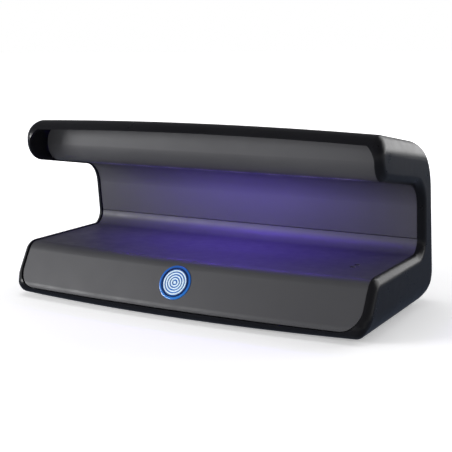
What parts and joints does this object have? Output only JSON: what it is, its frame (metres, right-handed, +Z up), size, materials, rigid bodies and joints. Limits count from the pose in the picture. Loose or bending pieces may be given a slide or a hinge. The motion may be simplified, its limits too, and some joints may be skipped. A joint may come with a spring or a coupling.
{
  "type": "counterfeit bill detector",
  "caption": "C-shaped desktop counterfeit bill detector: an ultraviolet lamp hood over an open tray, round badge on its sloping front, power rocker and socket at the back.",
  "frame": {"origin": "centre of the footprint's bounding box, on the surface the feet stand on", "axes": "+X along the width, to the user's right; -Y towards the user; +Z up"},
  "size_m": [0.206, 0.1019, 0.096],
  "materials": {
    "casing_black": "satin",
    "liner_grey": "satin",
    "window_clear": "gloss",
    "reflector_bright": "polished",
    "circuit_board": "satin",
    "led_clear": "gloss",
    "badge_blue": "gloss",
    "badge_rim": "gloss",
    "badge_white": "gloss",
    "lens_dark": "gloss",
    "rubber_black": "matte",
    "screw_steel": "satin",
    "chip_black": "matte",
    "capacitor_can": "satin",
    "ferrite": "matte",
    "connector_white": "satin",
    "socket_black": "satin",
    "contact_brass": "satin",
    "switch_black": "satin",
    "wire_jacket": "satin",
    "label_silver": "matte"
  },
  "bodies": {
    "detector": {"outer_casing": "casing_black", "upper_liner": "liner_grey", "note_tray": "liner_grey", "base_cover": "casing_black", "rubber_feet": "rubber_black", "rating_label": "label_silver", "cover_screws": "screw_steel", "rear_screws": "screw_steel", "uv_window": "window_clear", "uv_reflector": "reflector_bright", "uv_led_board": "circuit_board", "uv_leds": "led_clear", "led_board_screws": "screw_steel", "badge_disc": "badge_blue", "badge_ring": "badge_rim", "badge_emblem": "badge_white", "sensor_lenses": "lens_dark", "ir_diodes": "led_clear", "sensor_board": "circuit_board", "sensor_screws": "screw_steel", "control_board": "circuit_board", "board_screws": "screw_steel", "driver_chip": "chip_black", "capacitors": "capacitor_can", "power_inductor": "ferrite", "wire_connectors": "connector_white", "dc_jack": "socket_black", "jack_pin": "contact_brass", "switch_housing": "switch_black", "switch_terminals": "contact_brass", "led_harness": "wire_jacket", "sensor_wires": "wire_jacket", "switch_wires": "wire_jacket"},
    "rocker": {"power_rocker": "switch_black"}
  },
  "joints": [
    {"name": "power_switch", "type": "hinge", "parent": "detector", "child": "rocker", "pos_m": [0.071, 0.045, 0.0175], "axis": [0, 0, 1], "range_deg": [0, 16]}
  ]
}
